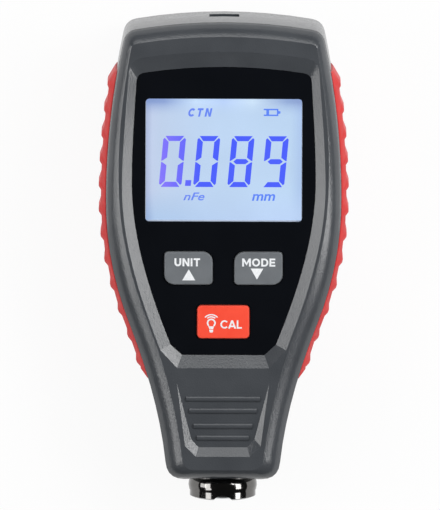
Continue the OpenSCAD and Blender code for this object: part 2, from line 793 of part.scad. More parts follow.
module circuit_board() color("#1f6b3a") difference() {
    plate(closed([
        [board_low_w / 2, board_low_y],
        [board_low_w / 2, cal_y + key_h / 2],
        [board_mid_w / 2, window_y - frame_h / 2],
        [board_mid_w / 2, window_y + frame_h / 2 - 5],
        [board_top_w / 2, window_y + frame_h / 2],
        [board_top_w / 2, board_high_y]
    ]), board_z, board_top_z);
    both_sides() for (p = post_places) translate([p[0], p[1], board_z - over])
        cylinder(d = board_screw_d + 4 * fit, h = board_t + 2 * over);
}

module board_screws() color("#b8bcc0") both_sides() for (p = post_places)
    translate([p[0], p[1], 0]) {
        head_t = 1.2;
        translate([0, 0, board_z - fit - head_t]) cylinder(d = board_screw_d + 2, h = head_t);
        translate([0, 0, board_z - fit - head_t / 2])
            cylinder(d = board_screw_d, h = pilot_end_z - board_z - head_t / 2);
    }

module main_chip() color("#18191b") {
    chip_w = 10;
    chip_t = 1.4;
    block(chip_w, window_y - chip_w / 2, window_y + chip_w / 2, board_z - fit - chip_t, board_z - fit);
}

module key_contacts() color("#d4af5a") for (k = key_list)
    translate([k[0], k[1], board_top_z + fit]) cylinder(d = pill_d + 1, h = contact_t);

// The probe, in the case's parting plane

sleeve_end_y = tip_y + 0.4;
collar_d = neck_d + 2.8;
collar_t = 2;
inner_bore_d = 12.4;
core_flange_t = 1.5;
core_flange_y = bottom_y + 1.1;
spring_y = core_flange_y + core_flange_t + fit;
cap_y = spring_y + spring_len + fit;
cap_t = 2.4;
shaft_d = 4;
coil_in_d = 3.4;
coil_out_d = bore_d - 2.4;
coil_len = 5;
core_end_y = tip_y + tip_rise;

// Points of a profile in [radius, y], turned about the probe's axis
module turned(points) {
    translate([0, 0, parting_z]) rotate([-90, 0, 0])
        rotate_extrude() polygon(points);
}

module probe_sleeve() color("#c8cacc") difference() {
    band_y = bottom_y - 0.66 * (bottom_y - sleeve_end_y);
    bulge_y = band_y + 1.2;
    collar_y = bottom_y + cavity_in + fit;
    bulge_r = bulge_d / 2;
    lip = 0.9;
    turned(concat(
        [[bore_d / 2, sleeve_end_y], [band_d / 2 - lip, sleeve_end_y]],
        [[band_d / 2, sleeve_end_y + lip / 2], [band_d / 2, band_y], [bulge_r - 0.2, band_y]],
        [for (i = [0:arc_steps]) let (a = 90 * i / arc_steps) [
            neck_d / 2 + (bulge_r - neck_d / 2) * cos(a),
            bulge_y + (bottom_y - fit - bulge_y) * sin(a)]],
        [[neck_d / 2, collar_y], [collar_d / 2, collar_y], [collar_d / 2, collar_y + collar_t]],
        [[neck_d / 2, collar_y + collar_t], [neck_d / 2, cap_y + cap_t]],
        [[inner_bore_d / 2, cap_y + cap_t], [inner_bore_d / 2, core_flange_y - fit]],
        [[bore_d / 2, core_flange_y - fit]]));
    notch_r = (notch_w^2 / 4 + notch_h^2) / (2 * notch_h);
    translate([0, sleeve_end_y + notch_h - notch_r, parting_z - bulge_d])
        cylinder(r = notch_r, h = 2 * bulge_d);
}

module probe_cap() color("#8f9294") turned([
    [shaft_d / 2 + play, cap_y], [inner_bore_d / 2 - fit, cap_y],
    [inner_bore_d / 2 - fit, cap_y + cap_t], [shaft_d / 2 + play, cap_y + cap_t]
]);

module probe_core() color("#b0b3b6") {
    rod_d = bore_d - 2 * fit;
    turned([
        [0, core_end_y + tip_rise], [coil_in_d / 2, core_end_y + tip_rise],
        [coil_in_d / 2, core_end_y + coil_len], [coil_out_d / 2, core_end_y + coil_len],
        [coil_out_d / 2, core_end_y], [rod_d / 2 - 0.3, core_end_y],
        [rod_d / 2, core_end_y + 0.3], [rod_d / 2, core_flange_y],
        [inner_bore_d / 2 - play, core_flange_y],
        [inner_bore_d / 2 - play, core_flange_y + core_flange_t],
        [shaft_d / 2, core_flange_y + core_flange_t],
        [shaft_d / 2, cap_y + cap_t / 2], [0, cap_y + cap_t / 2]
    ]);
}

module probe_coil() color("#2a2c2e") turned([
    [coil_in_d / 2 + fit, core_end_y + fit], [coil_out_d / 2 - fit, core_end_y + fit],
    [coil_out_d / 2 - fit, core_end_y + coil_len - fit],
    [coil_in_d / 2 + fit, core_end_y + coil_len - fit]
]);

module probe_tip() color("#7a1f2a") {
    tip_r = coil_in_d / 2 - 0.2;
    base_y = core_end_y + tip_rise - fit;
    turned(concat([[0, base_y]], [for (i = [0:arc_steps]) let (a = 90 * i / arc_steps)
        [tip_r * cos(a), base_y - (base_y - tip_y) * sin(a)]]));
}

module probe_spring() color("#9a9da0") translate([0, spring_y, parting_z]) rotate([-90, 0, 0])
    coil(shaft_d / 2 + 1.4, shaft_d / 2 + 1.4, spring_len, 5);

// The battery bay's door, cells and contacts

module battery_door() color("#3e4246") {
    block(door_w, hinge_y, door_y1, door_gap, door_in_z);
    translate([-door_w / 2, hinge_y, hinge_z]) rotate([0, 90, 0]) cylinder(d = hinge_d, h = door_w);
}

nub_d = 3.8;
nub_h = 0.9;
cell_y0 = bay_y0 + contact_room;

// One cell from its flat end at y = 0 to its nub
module cell() {
    along_y(cell_d, 0, cell_len - nub_h);
    along_y(nub_d, cell_len - nub_h - over / 2, cell_len);
}

module battery_cell_left() color("#c9a227") translate([-cell_x, cell_y0, cell_z]) cell();

module battery_cell_right() color("#c9a227")
    translate([cell_x, cell_y0 + cell_len, cell_z]) rotate([0, 0, 180]) cell();

contact_plate_t = 0.4;
contact_w = cell_d - 2;

// A contact plate against the end wall at y = 0, reaching towards +Y
module contact_plate() {
    translate([-contact_w / 2, fit, -contact_w / 2]) cube([contact_w, contact_plate_t, contact_w]);
}

// Places at the end walls for a contact, at the lower or the upper end of a bay
module at_bay_ends() {
    translate([-cell_x, bay_y1, cell_z]) rotate([0, 0, 180]) children(0);
    translate([cell_x, bay_y0, cell_z]) children(0);
}

module battery_plus_contacts() color("#c8cacc") at_bay_ends() {
    union() {
        contact_plate();
        along_y(nub_d, fit + contact_plate_t / 2, contact_room - fit);
    }
}

module battery_minus_contacts() color("#c8cacc") mirror([1, 0, 0]) at_bay_ends() {
    union() {
        contact_plate();
        coil_y = fit + contact_plate_t - wire_d / 4;
        translate([0, coil_y, 0]) rotate([-90, 0, 0])
            coil(contact_w / 2 - 0.8, contact_w / 4, contact_room - fit - coil_y, 2);
    }
}

module case_screws() color("#b8bcc0") both_sides() for (p = boss_places) translate([p[0], p[1], 0])
    difference() {
        head_t = 1.8;
        union() {
            translate([0, 0, head_seat_z - fit - head_t]) cylinder(d = screw_head_d, h = head_t);
            translate([0, 0, head_seat_z - head_t]) cylinder(d = screw_d, h = pilot_end_z - over - head_seat_z);
        }
        for (a = [0, 90]) rotate([0, 0, a]) translate([-screw_d / 2, -0.35, 0])
            cube([screw_d, 0.7, head_seat_z - fit - head_t / 2]);
    }

front_shell();
rear_shell();
left_grip();
right_grip();
face_panel();
display_window();
lcd_frame();
lcd_glass();
backlight_plate();
zebra_strip();
circuit_board();
board_screws();
main_chip();
key_contacts();
unit_key();
mode_key();
cal_key();
unit_pill();
mode_pill();
cal_pill();
probe_sleeve();
probe_cap();
probe_core();
probe_coil();
probe_tip();
probe_spring();
battery_door();
battery_cell_left();
battery_cell_right();
battery_plus_contacts();
battery_minus_contacts();
case_screws();
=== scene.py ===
"""Looks of the coating thickness gauge, which lies on its back with the display up."""

import json
import math

import bmesh
import bpy
from mathutils import Matrix, Vector


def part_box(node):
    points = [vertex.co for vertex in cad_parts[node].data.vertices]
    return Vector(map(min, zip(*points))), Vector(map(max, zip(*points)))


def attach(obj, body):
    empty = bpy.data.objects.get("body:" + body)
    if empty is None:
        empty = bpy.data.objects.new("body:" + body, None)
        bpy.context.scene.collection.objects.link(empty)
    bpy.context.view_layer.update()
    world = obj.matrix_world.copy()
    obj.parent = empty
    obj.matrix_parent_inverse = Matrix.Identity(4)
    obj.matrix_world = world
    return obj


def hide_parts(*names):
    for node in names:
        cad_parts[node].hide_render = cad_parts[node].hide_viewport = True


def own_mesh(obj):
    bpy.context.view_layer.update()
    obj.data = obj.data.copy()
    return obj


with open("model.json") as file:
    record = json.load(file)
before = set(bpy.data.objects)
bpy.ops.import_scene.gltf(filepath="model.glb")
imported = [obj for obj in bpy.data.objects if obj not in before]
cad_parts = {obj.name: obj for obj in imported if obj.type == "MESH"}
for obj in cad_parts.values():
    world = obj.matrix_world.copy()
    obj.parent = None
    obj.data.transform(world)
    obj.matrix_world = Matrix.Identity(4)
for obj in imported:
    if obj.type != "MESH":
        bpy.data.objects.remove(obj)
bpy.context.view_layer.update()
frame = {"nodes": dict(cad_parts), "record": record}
nodes = frame["nodes"]
scene = bpy.context.scene

# Lengths on the object are written in millimetres, those of the floor, lamps and camera in metres
MM = 0.001


def srgb(red, green, blue):
    """Linear colour of an 8-bit display colour."""
    def linear(level):
        level = level / 255
        return level / 12.92 if level <= 0.04045 else ((level + 0.055) / 1.055) ** 2.4
    return (linear(red), linear(green), linear(blue), 1.0)


def scaled(colour, factor):
    """A colour made lighter or darker."""
    return tuple(factor * level for level in colour[:3]) + (1.0,)


# Shader maths

class Value:
    """A socket of a finish, so that shader maths reads as Python."""

    def __init__(self, finish, socket):
        self.finish = finish
        self.socket = socket

    def math(self, operation, first, second):
        return self.finish.node("ShaderNodeMath", {"operation": operation}, {0: first, 1: second})

    def __add__(self, other):
        return self.math("ADD", self, other)

    def __radd__(self, other):
        return self.math("ADD", other, self)

    def __sub__(self, other):
        return self.math("SUBTRACT", self, other)

    def __rsub__(self, other):
        return self.math("SUBTRACT", other, self)

    def __mul__(self, other):
        return self.math("MULTIPLY", self, other)

    def __rmul__(self, other):
        return self.math("MULTIPLY", other, self)


class Finish:
    """A material on the Principled shader, with one method for any other node."""

    def __init__(self, name, constants):
        self.material = bpy.data.materials.new(name)
        self.material.use_nodes = True
        self.tree = self.material.node_tree
        self.shader = self.tree.nodes["Principled BSDF"]
        for socket, value in constants.items():
            self.shader.inputs[socket].default_value = value

    def node(self, kind, settings=None, inputs=None, output=0):
        made = self.tree.nodes.new(kind)
        for name, value in (settings or {}).items():
            if name == "stops":
                ramp = made.color_ramp
                while len(ramp.elements) < len(value):
                    ramp.elements.new(1.0)
                for element, (position, colour) in zip(ramp.elements, value):
                    element.position = position
                    element.color = colour
            else:
                setattr(made, name, value)
        for name, value in (inputs or {}).items():
            self.set(made.inputs[name], value)
        return Value(self, made.outputs[output])

    def set(self, socket, value):
        if isinstance(value, Value):
            self.tree.links.new(value.socket, socket)
        else:
            socket.default_value = value

    def feed(self, socket, value):
        self.set(self.shader.inputs[socket], value)

    def place(self):
        return self.node("ShaderNodeTexCoord", output="Object")

    def axis(self, name):
        return self.node("ShaderNodeSeparateXYZ", inputs={"Vector": self.place()}, output=name)

    def noise(self, size, detail=2.0, stretch=(1, 1, 1)):
        """Noise from 0 to 1 whose features are about the given size across."""
        spot = self.node("ShaderNodeMapping", inputs={"Vector": self.place(), "Scale": stretch})
        return self.node("ShaderNodeTexNoise",
                         inputs={"Vector": spot, "Scale": 1 / size, "Detail": detail})

    def remap(self, value, low, high, to_low, to_high):
        return self.node("ShaderNodeMapRange", inputs={
            "Value": value, "From Min": low, "From Max": high, "To Min": to_low, "To Max": to_high})

    def spread(self, noise, to_low, to_high):
        """A noise, most of which lies from 0.3 to 0.7, stretched to another range."""
        return self.remap(noise, 0.3, 0.7, to_low, to_high)

    def mix(self, factor, first, second):
        return self.node("ShaderNodeMix", {"data_type": "RGBA"},
                         {"Factor": factor, 6: first, 7: second}, output=2)

    def ramp(self, value, stops):
        return self.node("ShaderNodeValToRGB", {"stops": stops}, {"Fac": value})

    def bump(self, height, depth):
        self.feed("Normal", self.node("ShaderNodeBump", inputs={"Height": height, "Distance": depth}))


# Finishes

# Width and depth of the marks on each kind of surface
GRAIN, GRAIN_DEPTH = 0.5 * MM, 0.045 * MM
PORE, PORE_DEPTH = 0.15 * MM, 0.012 * MM
SCRATCH, SCRATCH_DEPTH = 0.6 * MM, 0.002 * MM


def grained_plastic(name, colour, worn, roughness=0.2):
    """Moulded plastic with a fine spark-eroded grain and faint tone changes."""
    finish = Finish(name, {"Specular IOR Level": 0.5})
    tone = finish.noise(9 * MM, 3.0)
    pits = finish.noise(GRAIN, 1.5)
    finish.feed("Base Color", finish.mix(finish.spread(tone, 0.0, 1.0), colour, worn))
    finish.feed("Roughness", finish.spread(pits, roughness - 0.05, roughness + 0.07))
    finish.bump(pits, GRAIN_DEPTH)
    return finish.material


def soft_rubber(name, colour, bright, roughness=0.5, specular=0.4):
    """Silicone or moulded rubber with a dusty sheen."""
    finish = Finish(name, {"Specular IOR Level": specular, "Sheen Weight": 0.05})
    tone = finish.noise(5 * MM)
    pores = finish.noise(PORE, 1.0)
    finish.feed("Base Color", finish.mix(finish.spread(tone, 0.0, 1.0), colour, bright))
    finish.feed("Roughness", finish.spread(pores, roughness - 0.06, roughness + 0.06))
    finish.bump(pores, PORE_DEPTH)
    return finish.material


def gloss_plastic(name, colour):
    """Gloss plastic with the faintest haze."""
    finish = Finish(name, {"Specular IOR Level": 0.35})
    haze = finish.noise(14 * MM, 3.0)
    finish.feed("Base Color", finish.mix(haze, colour, scaled(colour, 1.5)))
    finish.feed("Roughness", finish.spread(haze, 0.09, 0.14))
    return finish.material


def plated_metal(name, colour, roughness, brushed=(1, 1, 1)):
    """Plated or turned metal with fine marks."""
    finish = Finish(name, {"Metallic": 1.0})
    marks = finish.noise(SCRATCH, 3.0, brushed)
    polish = finish.remap(marks, 0.25, 0.75, 0.0, 1.0)
    finish.feed("Base Color", finish.mix(polish, scaled(colour, 0.82), colour))
    finish.feed("Roughness", finish.remap(marks, 0.25, 0.75, roughness * 0.7, roughness * 1.4))
    finish.bump(marks, SCRATCH_DEPTH)
    return finish.material


def clear_window(name):
    """Hard-coated clear acrylic."""
    finish = Finish(name, {"Specular IOR Level": 0.35, "Base Color": srgb(235, 242, 255)})
    haze = finish.noise(12 * MM)
    finish.feed("Roughness", finish.spread(haze, 0.06, 0.1))
    finish.feed("Alpha", finish.spread(haze, 0.012, 0.02))
    return finish.material


def backlit_glass(name, box):
    """Display glass lit from behind: violet at the left, with light bleeding in at its edges."""
    corner, far_corner = box
    finish = Finish(name, {
        "Base Color": srgb(40, 48, 60), "Roughness": 0.35, "Emission Strength": 1.0})
    across = finish.remap(finish.axis("X"), corner.x, far_corner.x, 0.0, 1.0)
    up = finish.remap(finish.axis("Y"), corner.y, far_corner.y, 0.0, 1.0)
    sheet = finish.ramp(across, [
        (0.0, srgb(160, 172, 204)), (0.045, srgb(186, 200, 226)), (0.1, srgb(182, 199, 224)),
        (0.33, srgb(180, 202, 229)), (0.92, srgb(180, 205, 232)), (1.0, srgb(168, 194, 232))])
    top_light = finish.ramp(across, [
        (0.04, srgb(129, 152, 203)), (0.12, srgb(133, 156, 206)), (0.32, srgb(192, 216, 244)),
        (0.5, srgb(178, 202, 241)), (0.68, srgb(200, 222, 243)), (0.9, srgb(140, 164, 208)),
        (0.98, srgb(136, 158, 205))])
    bottom_light = finish.ramp(across, [
        (0.01, srgb(140, 166, 206)), (0.06, srgb(166, 192, 224)), (0.5, srgb(177, 200, 231)),
        (0.92, srgb(182, 205, 238))])
    near_top = finish.remap(up, 0.83, 0.96, 0.0, 1.0)
    near_bottom = finish.remap(up, 0.25, 0.04, 0.0, 0.9)
    cloud = finish.spread(finish.noise(16 * MM), 1.01, 1.08)
    lit = finish.mix(near_bottom, finish.mix(near_top * near_top, sheet, top_light), bottom_light)
    shade = finish.node("ShaderNodeVectorMath", {"operation": "SCALE"}, {0: lit, "Scale": cloud})
    finish.feed("Emission Color", shade)
    return finish.material


def display_ink(name, left, right, span):
    """Switched-on display segments, whose blue turns violet towards the left."""
    finish = Finish(name, {
        "Base Color": (0.01, 0.01, 0.02, 1), "Roughness": 0.5, "Emission Strength": 1.0})
    across = finish.remap(finish.axis("X"), *span, 0.0, 1.0)
    uneven = finish.spread(finish.noise(2 * MM), 0.0, 0.18)
    finish.feed("Emission Color", finish.mix(uneven, finish.mix(across, left, right), right))
    return finish.material


def print_ink(name, colour, dim):
    """Screen-printed ink, a little thin in places."""
    finish = Finish(name, {"Roughness": 0.55, "Specular IOR Level": 0.3})
    thin = finish.remap(finish.noise(0.6 * MM), 0.35, 0.75, 0.0, 1.0)
    finish.feed("Base Color", finish.mix(thin, colour, dim))
    return finish.material


CASE = grained_plastic("case plastic", srgb(64, 67, 71), srgb(70, 73, 77))
REAR = grained_plastic("rear plastic", srgb(60, 64, 68), srgb(66, 70, 74))
GRIP = soft_rubber("grip rubber", srgb(195, 31, 31), srgb(203, 40, 38), specular=0.24)
PANEL = gloss_plastic("panel black", srgb(9, 11, 15))
WINDOW = clear_window("window clear")
KEY = soft_rubber("key silicone", srgb(100, 104, 108), srgb(108, 112, 116))
CAL = soft_rubber("calibration silicone", srgb(240, 70, 46), srgb(244, 80, 56))
CHROME = plated_metal("chrome plate", (0.17, 0.165, 0.16, 1), 0.09)
STEEL = plated_metal("turned steel", (0.52, 0.53, 0.54, 1), 0.28, (1, 6, 1))
NICKEL = plated_metal("nickel plate", (0.6, 0.59, 0.56, 1), 0.24)
GOLD = plated_metal("gold flash", (0.8, 0.58, 0.24, 1), 0.22)
FRAME = grained_plastic("frame white", srgb(196, 208, 228), srgb(206, 216, 234))
GUIDE = grained_plastic("light guide", srgb(225, 232, 240), srgb(236, 241, 247), roughness=0.3)
ZEBRA = soft_rubber("layered rubber", srgb(190, 140, 148), srgb(206, 160, 166))
BOARD = grained_plastic("solder mask", srgb(22, 84, 44), srgb(28, 98, 52), roughness=0.3)
CHIP = grained_plastic("chip epoxy", srgb(22, 23, 25), srgb(30, 31, 33))
CARBON = soft_rubber("carbon pill", srgb(22, 22, 23), srgb(30, 30, 31))
POTTING = grained_plastic("coil potting", srgb(28, 29, 31), srgb(36, 37, 39))
JEWEL = gloss_plastic("hard tip", srgb(110, 22, 30))
CELL = soft_rubber("cell sleeve", srgb(178, 140, 46), srgb(190, 152, 58), roughness=0.3)
WHITE_INK = print_ink("white ink", srgb(236, 238, 240), srgb(220, 223, 226))
GLASS = backlit_glass("display glass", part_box("lcd_glass"))
DIGIT_INK = display_ink("digit blue", srgb(130, 108, 248), srgb(42, 74, 248),
                        (-19 * MM, -7 * MM))
WORD_INK = display_ink("small sign blue", srgb(94, 126, 238), srgb(72, 122, 242),
                       (-12 * MM, 12 * MM))


# Dressed CAD nodes

# Points nearer than MERGE become one, and faces that turn less than FLAT become one
MERGE = 0.002 * MM
FLAT = math.radians(0.5)
# Least turn of an edge that stays sharp, and of a crease on the face of the case
SHARP = math.radians(30)
CREASE = math.radians(8)


def finished_piece(name, mesh, finish, body):
    """Object from a bmesh, at the origin, riding on a body."""
    data = bpy.data.meshes.new(name)
    mesh.to_mesh(data)
    mesh.free()
    data.materials.append(finish)
    piece = bpy.data.objects.new(name, data)
    scene.collection.objects.link(piece)
    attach(piece, body)
    return piece


def body_of(node):
    bodies = frame["record"]["behaviour"]["bodies"]
    return next(body for body, members in bodies.items() if node in members)


def turn(edge):
    """Angle between the two faces of an edge."""
    return edge.calc_face_angle(0.0) if len(edge.link_faces) == 2 else 0.0


def sharp(edge):
    return turn(edge) > SHARP


def dressed(node, finish, ease=0.0, eased=sharp, even=False):
    """Copy of a node with merged faces, eased edges and smooth shading, which stands for it.

    An even piece has its left half on both sides.
    """
    mesh = bmesh.new()
    mesh.from_mesh(nodes[node].data)
    bmesh.ops.remove_doubles(mesh, verts=mesh.verts, dist=MERGE)
    if even:
        whole = mesh.verts[:] + mesh.edges[:] + mesh.faces[:]
        bmesh.ops.symmetrize(mesh, input=whole, direction="-X", dist=MERGE)
    bmesh.ops.dissolve_limit(mesh, angle_limit=FLAT, verts=mesh.verts, edges=mesh.edges)
    if ease:
        edges = [edge for edge in mesh.edges if eased(edge)]
        bmesh.ops.bevel(mesh, geom=edges, offset=ease, offset_type="OFFSET", affect="EDGES",
                        segments=2, profile=0.5, material=-1, clamp_overlap=True)
        bmesh.ops.remove_doubles(mesh, verts=mesh.verts, dist=MERGE)
    for face in mesh.faces:
        face.smooth = True
    for edge in mesh.edges:
        edge.smooth = not sharp(edge)
    piece = finished_piece(f"{node}_finished", mesh, finish, body_of(node))
    shading = piece.modifiers.new("even shading", "WEIGHTED_NORMAL")
    shading.keep_sharp = True
    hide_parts(node)
    return piece


FACE_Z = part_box("front_shell")[1].z
FACE_DEPTH = 3 * MM
# Point that the panel's bevel and the thumb rest's walls face, and how much they have to face it
FACE_MIDDLE = Vector((0, 15, 0)) * MM
FACE_LEAN = 1 * MM
# Least upward part of the normal of the flat land
LEVEL = 0.9995


def face_crease(edge):
    """Creases round the land, the panel's bevel and the thumb rest, which are shallow."""
    def inner(face):
        inwards = FACE_MIDDLE - face.calc_center_median()
        return face.normal.z > LEVEL or inwards.xy.dot(face.normal.xy) > FACE_LEAN
    high = all(v.co.z > FACE_Z - FACE_DEPTH for v in edge.verts)
    return high and turn(edge) > CREASE and any(inner(f) for f in edge.link_faces)


dressed("front_shell", CASE, ease=0.12 * MM, eased=face_crease, even=True)
dressed("rear_shell", REAR)
dressed("left_grip", GRIP, ease=0.15 * MM)
dressed("right_grip", GRIP, ease=0.15 * MM)
dressed("face_panel", PANEL)
dressed("unit_key", KEY)
dressed("mode_key", KEY)
dressed("cal_key", CAL)
dressed("probe_sleeve", CHROME)
dressed("probe_core", STEEL)
dressed("probe_tip", JEWEL)
dressed("battery_door", REAR, ease=0.2 * MM)
dressed("case_screws", STEEL, ease=0.1 * MM)


def sprung_coil():
    """The probe's spring, dressed on a mesh of its own; it reads the plunge's seat and range but does
    not shorten the coil against the cap.
    """
    coil = dressed("probe_spring", STEEL)
    plunge = next(j for j in frame["record"]["behaviour"]["joints"] if j["name"] == "probe_plunge")
    seat = plunge["deforming_nodes"][0]["fixed_end_y_m"]
    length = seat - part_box("probe_spring")[0].y
    1 - plunge["range_m"][1] / length
    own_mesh(coil)


sprung_coil()

PLAIN = {
    "display_window": WINDOW, "lcd_frame": FRAME, "lcd_glass": GLASS, "backlight_plate": GUIDE,
    "zebra_strip": ZEBRA, "circuit_board": BOARD, "board_screws": STEEL, "main_chip": CHIP,
    "key_contacts": GOLD, "unit_pill": CARBON, "mode_pill": CARBON, "cal_pill": CARBON,
    "probe_cap": STEEL, "probe_coil": POTTING, "battery_cell_left": CELL,
    "battery_cell_right": CELL, "battery_plus_contacts": NICKEL, "battery_minus_contacts": NICKEL,
}
for name, finish in PLAIN.items():
    if nodes[name].material_slots:
        for place in nodes[name].material_slots:
            place.material = finish
    else:
        nodes[name].data.materials.append(finish)


# Flat shapes, in millimetres

def flat_face(mesh, points):
    """One flat face through points."""
    mesh.faces.new([mesh.verts.new((x * MM, y * MM, 0)) for x, y in points])


def rectangle(mesh, left, bottom, right, top):
    flat_face(mesh, [(left, bottom), (right, bottom), (right, top), (left, top)])


def raise_flat(mesh, z, thickness):
    """Lifts the flat faces of a bmesh to z and gives them a thickness, both in metres."""
    bmesh.ops.translate(mesh, verts=mesh.verts, vec=(0, 0, z))
    sheet = bmesh.ops.extrude_face_region(mesh, geom=mesh.faces[:])
    top = [g for g in sheet["geom"] if isinstance(g, bmesh.types.BMVert)]
    bmesh.ops.translate(mesh, verts=top, vec=(0, 0, thickness))
    bmesh.ops.recalc_face_normals(mesh, faces=mesh.faces)


def bow(x, y, rx, ry, start, end, steps=12):
    """Points along part of an ellipse, between two angles in degrees."""
    angles = [math.radians(start + (end - start) * i / steps) for i in range(steps + 1)]
    return [(x + rx * math.cos(a), y + ry * math.sin(a)) for a in angles]


def band(outer, inner):
    """Four-sided faces between two rows of points."""
    rows = list(zip(outer, inner))
    return [[a, b, d, c] for (a, c), (b, d) in zip(rows, rows[1:])]


def bold_letter(letter, s):
    """Width and flat faces of a bold upright capital that is 1 high, with strokes of width s."""
    bar = 0.9 * s
    if letter == "I":
        return s, [[(0, 0), (s, 0), (s, 1), (0, 1)]]
    if letter == "L":
        w = 0.62
        return w, [[(0, 0), (w, 0), (w, bar), (s, bar), (s, 1), (0, 1)]]
    if letter == "T":
        w = 0.8
        left, right = (w - s) / 2, (w + s) / 2
        return w, [[(left, 0), (right, 0), (right, 1 - bar), (w, 1 - bar), (w, 1), (0, 1),
                    (0, 1 - bar), (left, 1 - bar)]]
    if letter == "E":
        w = 0.72
        arm = 0.93 * w
        low, high = (1 - bar) / 2, (1 + bar) / 2
        return w, [[(0, 0), (w, 0), (w, bar), (s, bar), (s, low), (arm, low), (arm, high),
                    (s, high), (s, 1 - bar), (w, 1 - bar), (w, 1), (0, 1)]]
    if letter == "N":
        w, slope = 0.86, 1.05 * s
        return w, [[(0, 0), (s, 0), (s, 0.62), (w - slope, 0), (w, 0), (w, 1), (w - s, 1),
                    (w - s, 0.38), (slope, 1), (0, 1)]]
    if letter == "M":
        w, slope = 1.08, 1.1 * s
        return w, [[(0, 0), (s, 0), (s, 0.6), (w / 2, 0.12), (w - s, 0.6), (w - s, 0), (w, 0),
                    (w, 1), (w - slope, 1), (w / 2, 0.46), (slope, 1), (0, 1)]]
    if letter == "U":
        w, r = 0.84, 0.42
        return w, [bow(w / 2, r, w / 2, r, 180, 360) + [(w, 1), (w - s, 1)]
                   + bow(w / 2, r, w / 2 - s, r - s, 360, 180) + [(s, 1), (0, 1)]]
    if letter == "O":
        w = 1.0
        return w, band(bow(w / 2, 0.5, w / 2, 0.5, 0, 360, 24),
                       bow(w / 2, 0.5, w / 2 - s, 0.5 - bar, 0, 360, 24))
    if letter == "C":
        w = 0.86
        return w, band(bow(0.5, 0.5, 0.5, 0.5, 42, 318, 20),
                       bow(0.5, 0.5, 0.5 - s, 0.5 - bar, 42, 318, 20))
    if letter == "D":
        w, r = 0.88, 0.46
        outer = bow(w - r, 0.5, r, 0.5, -90, 90) + [(0, 1), (0, 0)]
        inner = bow(w - r, 0.5, r - s, 0.5 - bar, -90, 90) + [(s, 1 - bar), (s, bar)]
        return w, band(outer + outer[:1], inner + inner[:1])

    # The letter A: two legs and a bridge
    w, foot, peak, low, high = 0.96, 1.15 * s, 0.74, 0.18, 0.36

    def inside(y):
        return foot + (w / 2 - foot) * y / peak

    leg = [(0, 0), (foot, 0), (inside(low), low), (inside(high), high), (w / 2, peak), (w / 2, 1),
           (w / 2 - 0.55 * s, 1)]
    other = [(w - x, y) for x, y in reversed(leg)]
    bridge = [(inside(low), low), (w - inside(low), low), (w - inside(high), high),
              (inside(high), high)]
    return w, [leg, other, bridge]


def bold_word(text, box, stroke, slant=0.0, narrow=1.0):
    """Flat bold capitals, spread over a box of (left, bottom, right, top)."""
    left, bottom, right, top = box
    height = top - bottom
    letters = [bold_letter(letter, stroke / height) for letter in text]
    free = (right - left) / height - slant - narrow * sum(w for w, _ in letters)
    gap = free / (len(letters) - 1)
    mesh = bmesh.new()
    start = 0.0
    for width, faces in letters:
        for points in faces:
            flat_face(mesh, [(left + (start + narrow * x + slant * y) * height, bottom + y * height)
                             for x, y in points])
        start += narrow * width + gap
    bmesh.ops.remove_doubles(mesh, verts=mesh.verts, dist=MERGE)
    return mesh


# Display signs

GLASS_LOW, GLASS_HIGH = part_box("lcd_glass")
DISPLAY_X = (GLASS_LOW.x + GLASS_HIGH.x) / 2
DISPLAY_Y = (GLASS_LOW.y + GLASS_HIGH.y) / 2
SIGN_Z = GLASS_HIGH.z + 0.03 * MM
SIGN_T = 0.05 * MM

DIGIT_W = 6.5
DIGIT_H = 14.8
DIGIT_PITCH = 9.84
DIGIT_SLANT = 0.093
# Lower left corner of the first digit, from the middle of the display
DIGIT_X = -18.7
DIGIT_Y = -8.1
# Decimal point: its side, and its place from the first digit
POINT = 1.68
POINT_X = 1.02
POINT_Y = 0.3
# Segments: their width, the gap between them, the cut of the outer corners and small trims
STROKE = 1.62
STROKE_GAP = 0.16
CUT = 0.42
NIB = 0.02
SHOULDER = 0.55
TOE, TOE_RISE = 0.4, 0.1
MITRE, BAR_TRIM = 0.12, 0.14
WAIST_TRIM = 0.08
LIT = {"0": "abcdef", "8": "abcdefg", "9": "abcdfg"}


def display_sign(name, mesh, ink):
    """Piece from flat faces, on the display's glass."""
    raise_flat(mesh, SIGN_Z, SIGN_T)
    finished_piece(name, mesh, ink, "case")


def segment_outlines():
    """Mitred outlines of the seven segments of an upright digit."""
    w, h, s, g = DIGIT_W, DIGIT_H, STROKE, STROKE_GAP
    waist = h / 2
    bar = h - s + BAR_TRIM
    top = [(CUT + g, h), (w - CUT - g, h), (w - s - g + MITRE, bar), (s + g - MITRE, bar)]
    side = [(w - CUT + NIB, h - CUT - g + NIB), (w, h - CUT - SHOULDER), (w, waist + g),
            (w - TOE, waist + g + TOE_RISE), (w - s, waist + s * 0.6 + g), (w - s, h - s - g)]
    end, flank, half = s * 0.55 + g, s + g * 1.6, s / 2 - WAIST_TRIM
    middle = [(end, waist), (flank, waist + half), (w - flank, waist + half),
              (w - end, waist), (w - flank, waist - half), (flank, waist - half)]

    def flip_x(points):
        return [(w - x, y) for x, y in points]

    def flip_y(points):
        return [(x, h - y) for x, y in points]

    return {"a": top, "b": side, "c": flip_y(side), "d": flip_y(top),
            "e": flip_x(flip_y(side)), "f": flip_x(side), "g": middle}


